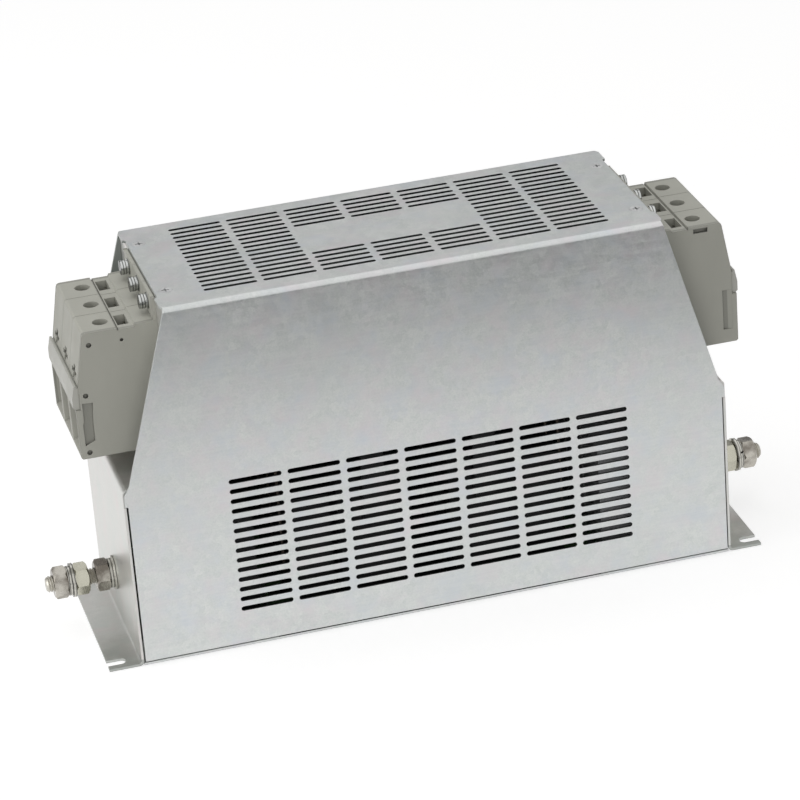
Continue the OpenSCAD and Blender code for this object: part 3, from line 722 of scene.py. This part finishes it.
def grid_piece(
    name: str, points: np.ndarray, material: bpy.types.Material
) -> bpy.types.Object:
    """Makes one smooth piece from a grid of points, rows by columns.

    Each row is a closed loop, neighbouring rows are joined by quads, and a flat face fills the
    first row and the last.

    Args:
        name: The piece's name.
        points: Rows x columns x 3, in metres.
        material: Its finish.

    Returns:
        The piece, riding on the root body.
    """
    rows, columns, _ = points.shape
    row = np.arange(rows - 1)[:, None] * columns
    column = np.arange(columns)[None, :]
    following = (column + 1) % columns
    quads = np.stack(
        [row + column, row + following, row + columns + following, row + columns + column], -1
    ).reshape(-1, 4)
    first = np.arange(columns)
    last = first + (rows - 1) * columns
    faces = [*quads.tolist(), first[::-1].tolist(), last.tolist()]
    mesh = bpy.data.meshes.new(name)
    mesh.from_pydata(points.reshape(-1, 3).tolist(), [], faces)
    smooth = np.ones(len(mesh.polygons), bool)
    smooth[-2:] = False
    mesh.polygons.foreach_set("use_smooth", smooth)
    mesh.update()
    mesh.materials.append(material)
    piece = stand(name, mesh)
    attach(piece, "root")
    log.info("built %s, %d faces", name, len(faces))
    return piece


@dataclass
class SheetCase:
    """The folded case: tray, two end walls and the slotted cover with its screws."""

    wardrobe: Wardrobe

    def dress_all(self) -> None:
        """Gives the sheets their rolled zinc and the screws their plating."""
        dress("cover", self.wardrobe.cover_zinc)
        dress("base_tray", self.wardrobe.tray_zinc)
        for wall in both("end_wall"):
            dress(wall, self.wardrobe.wall_zinc)
        dress("cover_screws", self.wardrobe.sunk)
        dress("cover_nuts", self.wardrobe.plated)


@dataclass
class TerminalBlock:
    """Three poles at one end, with their clamps, strip and fixing screws."""

    wardrobe: Wardrobe

    def dress_all(self) -> None:
        """Gives the mouldings their plastic and the metal parts their plating."""
        for number in (1, 2, 3):
            for pole in both(f"terminal_{number}"):
                dress(pole, self.wardrobe.terminal)
        for names, material in (
            ("marker_strip", self.wardrobe.strip),
            ("clamp_cages", self.wardrobe.plated),
            ("clamp_screws", self.wardrobe.plated),
            ("bridge_contacts", self.wardrobe.washer),
            ("fixing_screws", self.wardrobe.bright),
            ("fixing_nuts", self.wardrobe.plated),
        ):
            for node in both(names):
                dress(node, material)


@dataclass
class EarthingPoint:
    """One threaded stud with its nuts, washers and inner link."""

    wardrobe: Wardrobe
    end: str
    pitch: float = 1.5 * MM
    depth: float = 0.82 * MM
    chamfer: float = 1.4 * MM
    # how steep the flanks are, and the offset that keeps the crest flat
    flank: float = 1.9
    crest: float = 0.5
    steps: int = 10
    around: int = 40

    def thread(self) -> bpy.types.Object:
        """Cuts the stud's thread.

        The radius is r(x, a) = R - d * clip(f * |2 * frac(x / p + a / 2 pi) - 1| - c, 0, 1), where
        R is the stud's radius, d the depth, p the pitch, f the flank and c the crest: a flat crest,
        two flanks and a narrow root. It is no more than the 45 degree chamfer at the end allows.

        Returns:
            The threaded stud, which stands for the plain one.
        """
        node = f"{self.end}_earth_stud"
        low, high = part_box(node)
        side = 1.0 if self.end == "load" else -1.0
        start, stop = sorted((abs(low.x), abs(high.x)))
        radius = (high.z - low.z) / 2
        height = (high.z + low.z) / 2
        x = np.linspace(start, stop, int((stop - start) / self.pitch * self.steps))[:, None]
        a = np.linspace(0.0, 2.0 * np.pi, self.around, endpoint=False)[None, :]
        wave = np.abs(2.0 * np.mod(x / self.pitch + a / (2.0 * np.pi), 1.0) - 1.0)
        r = radius - self.depth * np.clip(self.flank * wave - self.crest, 0.0, 1.0)
        r = np.minimum(r, radius - self.chamfer + (stop - x))
        points = np.stack(
            [side * np.broadcast_to(x, r.shape), side * r * np.sin(a), height + r * np.cos(a)], -1
        )
        piece = grid_piece(
            f"{self.end}_threaded_stud", points[:, ::-1], self.wardrobe.plated
        )
        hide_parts(node)
        return piece

    def dress_all(self) -> None:
        """Builds the thread and gives the hardware its plating."""
        self.thread()
        dress(f"{self.end}_earth_nuts", self.wardrobe.nut)
        dress(f"{self.end}_earth_washers", self.wardrobe.washer)
        dress(f"{self.end}_spring_washers", self.wardrobe.washer)
        dress(f"{self.end}_earth_link", self.wardrobe.copper)


@dataclass
class FilterInside:
    """What shows dimly through the vents: bars, cores, boards and capacitors."""

    wardrobe: Wardrobe
    film_length: float = 256.0 * MM
    film_foot: float = 14.1 * MM
    film_top: float = 118.0 * MM
    film_thick: float = 0.35 * MM
    film_gap: float = 0.5 * MM
    film_bow: float = 0.3 * MM
    film_along: int = 41
    film_up: int = 17
    sheet: float = 1.5 * MM

    def rear_shade_film(self) -> bpy.types.Object:
        """Stands a dark film on the tray's angle, just inside the back panel's vents: painted shade
        that keeps the view through them dark.

        Its outer face is y(u, v) = Y - b * cos(pi u) * cos(pi v) for u and v from -1/2 to 1/2 along
        and up the film, a sheet that bows inwards by b at its middle, and the inner face lies the
        film's thickness further in. Each row is a loop up one face and down the other.

        Returns:
            The film.
        """
        back = CAD_BOX[1].y - self.sheet - self.film_gap
        u = np.linspace(-0.5, 0.5, self.film_along)[:, None]
        v = np.linspace(-0.5, 0.5, self.film_up)
        v = np.concatenate([v, v[::-1]])[None, :]
        inner = (np.arange(v.size) >= v.size // 2)[None, :] * self.film_thick
        y = back - self.film_bow * np.cos(np.pi * u) * np.cos(np.pi * v) - inner
        x = np.broadcast_to(self.film_length * u, y.shape)
        middle = (self.film_foot + self.film_top) / 2
        z = np.broadcast_to(middle + (self.film_top - self.film_foot) * v, y.shape)
        return grid_piece("rear_shade_film", np.stack([x, y, z], -1), self.wardrobe.dark)

    def dress_all(self) -> None:
        """Stands the film and gives every inner node its finish."""
        # painted shade: a dark sheet behind the back vents
        self.rear_shade_film()
        w = self.wardrobe
        for number in (1, 2, 3):
            dress(f"phase_bar_{number}", w.copper)
        # partly painted shade: carriers, saddles, the steel straps and two capacitor rows take
        # near-black finishes for the shade inside the case
        for names, material in (
            ("core", w.core),
            ("bar_carrier", w.dark),
            ("core_saddle", w.dark),
            ("core_strap", w.dark),
            ("inner_capacitors", w.dark),
            ("board", w.board),
            ("tap_links", w.copper),
        ):
            for node in both(names):
                dress(node, material)
        dress("line_x_capacitors", w.dark)
        dress("load_x_capacitors", w.capacitor)
        dress("y_capacitors", w.epoxy)
        dress("discharge_resistors", w.epoxy)
        dress("board_posts", w.plated)
        dress("tap_screws", w.plated)


@dataclass(frozen=True)
class Lamp:
    """One square soft lamp, in metres and watts. Metal reflects it only where it is mirrored."""

    name: str
    place: Place
    size: float
    power: float
    mirrored: bool = False


@dataclass
class Studio:
    """Camera, pale floor, flags and soft lamps. Angles are in degrees, lengths in metres.

    The front flag lies flat between front_far and front_near, two Y values of its left and right
    near corners. The rear flag leans from rear_foot up to rear_head, each one a Y and a Z.
    """

    azimuth: float = -13.490
    elevation: float = 25.093
    roll: float = -4.534
    distance: float = 2.17542
    lens: float = 163.808
    sensor: float = 36.0
    aim: Place = (-0.00051, 0.0, -0.00153)
    ambient: float = 0.34
    far_clip: float = 50.0
    floor_half: float = 12.0
    floor_height: float = -0.0002
    floor_pool: Span = (0.86, 0.2)
    floor_glow: float = 0.66
    flag_half: float = 2.4
    front_near: Span = (-0.72, -0.2)
    front_far: float = -3.0
    front_height: float = 0.002
    front_greys: Span = (0.004, 0.008)
    rear_foot: Span = (2.4, 0.35)
    rear_head: Span = (2.3, 1.42)
    rear_greys: Span = (0.68, 0.74)
    lamp_tint: Rgb = (1.0, 0.99, 0.98)
    lamps: tuple[Lamp, ...] = (
        Lamp("overhead", (-0.2, 0.3, 2.1), 2.4, 19.0),
        Lamp("left", (-2.0, -0.3, 0.8), 1.6, 12.5, mirrored=True),
        Lamp("front", (-0.6, -2.3, 0.6), 1.6, 17.0),
    )

    def camera(self) -> None:
        """Stands the camera at the product view.

        The view axis is b = (sin A cos E, -cos A cos E, sin E), and the picture is rolled about it.
        """
        a, e, t = (math.radians(v) for v in (self.azimuth, self.elevation, self.roll))
        back = Vector((math.sin(a) * math.cos(e), -math.cos(a) * math.cos(e), math.sin(e)))
        level = Vector((math.cos(a), math.sin(a), 0.0))
        upright = back.cross(level)
        right = level * math.cos(t) + upright * math.sin(t)
        up = upright * math.cos(t) - level * math.sin(t)
        low, high = CAD_BOX
        target = (low + high) / 2 + Vector(self.aim)
        data = bpy.data.cameras.new("camera")
        data.lens = self.lens
        data.sensor_width = self.sensor
        data.clip_end = self.far_clip
        camera = stand("camera", data)
        turned = Matrix((right, up, back)).transposed().to_4x4()
        camera.matrix_world = Matrix.Translation(target + back * self.distance) @ turned
        bpy.context.scene.camera = camera

    def paper(self) -> bpy.types.Material:
        """Makes the floor's paper.

        The camera and reflections see it white with the shadow kept. The light that it throws back
        comes from a grey that is paler near the filter and darker further out: a painted pool of
        light.

        Returns:
            The material.
        """
        r = Recipe("pale_floor")
        paper = r.noise(3.0, 2.0)
        distance = r.add(
            "ShaderNodeVectorMath", {0: r.stretched((1.0, 1.3, 1.0))}, operation="LENGTH"
        ).outputs["Value"]
        # painted pool of light: the floor's bounce colour is paler near the filter
        pool = r.ramp(distance, 0.2, 0.8, *self.floor_pool)
        shade = r.sums("ADD", pool, r.ramp(paper, 0.3, 0.7, -0.01, 0.01))
        colour = r.add("ShaderNodeCombineColor", {0: shade, 1: shade, 2: shade}).outputs[0]
        matt = r.add("ShaderNodeBsdfDiffuse", {"Color": colour})
        pale = r.add("ShaderNodeBsdfDiffuse", {"Color": (0.5, 0.5, 0.5)})
        glow = r.add("ShaderNodeEmission", {"Color": WHITE, "Strength": self.floor_glow})
        seen = r.add("ShaderNodeAddShader", {0: pale.outputs[0], 1: glow.outputs[0]})
        path = r.add("ShaderNodeLightPath")
        rays = r.sums(
            "MAXIMUM",
            r.sums("MAXIMUM", path.outputs["Is Camera Ray"], path.outputs["Is Glossy Ray"]),
            path.outputs["Is Transmission Ray"],
        )
        return r.close(
            r.add("ShaderNodeMixShader", {0: rays, 1: matt.outputs[0], 2: seen.outputs[0]})
        )

    def floor(self) -> None:
        """Lays a wide pale floor under the filter."""
        half, height = self.floor_half, self.floor_height
        corners = [
            (-half, -half, height),
            (half, -half, height),
            (half, half, height),
            (-half, half, height),
        ]
        floor = card("floor", corners, self.paper())

    def flags(self) -> None:
        """Lays dark felt far in front and stands grey card far behind, for reflections alone."""
        half, far, height = self.flag_half, self.front_far, self.front_height
        left, right = self.front_near
        lying = [
            (-half, far, height),
            (half, far, height),
            (half, right, height),
            (-half, left, height),
        ]
        self.flag("front_flag", lying, self.front_greys)
        foot, head = self.rear_foot, self.rear_head
        leaning = [(-half, *foot), (half, *foot), (half, *head), (-half, *head)]
        self.flag("rear_flag", leaning, self.rear_greys)

    def flag(self, name: str, corners: list[Place], greys: Span) -> None:
        """Hangs one flag.

        Args:
            name: The flag's name.
            corners: Its four corners, in metres.
            greys: The darkest and the lightest grey of its cloth.
        """
        r = Recipe(name + "_cloth")
        dark, light = greys
        colour = r.blend(r.ramp(r.noise(40.0), 0.3, 0.7, 0.0, 1.0), (dark,) * 3, (light,) * 3)
        cloth = r.close(r.add("ShaderNodeBsdfDiffuse", {"Color": colour}))
        flag = card(name, corners, cloth)
        for ray in ("camera", "diffuse", "transmission", "shadow"):
            setattr(flag, f"visible_{ray}", False)

    def sky(self) -> None:
        """Surrounds the set with an even white that the lamps stand out from."""
        world = bpy.data.worlds.new("studio")
        bpy.context.scene.world = world
        world.use_nodes = True
        tree = world.node_tree
        tree.nodes.clear()
        path = tree.nodes.new("ShaderNodeLightPath")
        soft = tree.nodes.new("ShaderNodeBackground")
        soft.inputs["Color"].default_value = (*WHITE, 1.0)
        soft.inputs["Strength"].default_value = self.ambient
        white = tree.nodes.new("ShaderNodeBackground")
        white.inputs["Color"].default_value = (*WHITE, 1.0)
        white.inputs["Strength"].default_value = 1.0
        mix = tree.nodes.new("ShaderNodeMixShader")
        output = tree.nodes.new("ShaderNodeOutputWorld")
        seen: bpy.types.NodeSocket = path.outputs["Is Camera Ray"]
        for ray in ("Is Glossy Ray", "Is Transmission Ray"):
            either = tree.nodes.new("ShaderNodeMath")
            either.operation = "MAXIMUM"
            tree.links.new(seen, either.inputs[0])
            tree.links.new(path.outputs[ray], either.inputs[1])
            seen = either.outputs[0]
        tree.links.new(seen, mix.inputs[0])
        tree.links.new(soft.outputs[0], mix.inputs[1])
        tree.links.new(white.outputs[0], mix.inputs[2])
        tree.links.new(mix.outputs[0], output.inputs[0])

    def light(self) -> None:
        """Hangs the soft lamps, each turned to the middle of the filter."""
        low, high = CAD_BOX
        target = (low + high) / 2
        for plan in self.lamps:
            data = bpy.data.lights.new(plan.name, "AREA")
            data.shape = "SQUARE"
            data.size = plan.size
            data.energy = plan.power
            data.color = self.lamp_tint
            lamp = stand(plan.name, data)
            lamp.location = plan.place
            lamp.visible_glossy = plan.mirrored
            away = target - Vector(plan.place)
            lamp.rotation_euler = away.to_track_quat("-Z", "Y").to_euler()

    def set_up(self) -> None:
        """Makes the whole studio."""
        bpy.context.scene.view_settings.view_transform = "Standard"
        self.camera()
        self.floor()
        self.flags()
        self.sky()
        self.light()


def main() -> None:
    """Builds the studio and dresses the filter, sub-assembly by sub-assembly."""
    logging.basicConfig(level=logging.INFO, format="%(name)s: %(message)s")
    Studio().set_up()
    wardrobe = Wardrobe()
    parts = [
        SheetCase(wardrobe),
        TerminalBlock(wardrobe),
        EarthingPoint(wardrobe, "line"),
        EarthingPoint(wardrobe, "load"),
        FilterInside(wardrobe),
    ]
    for part in parts:
        part.dress_all()
        log.info("finished %s", type(part).__name__)


if __name__ == "__main__":
    main()
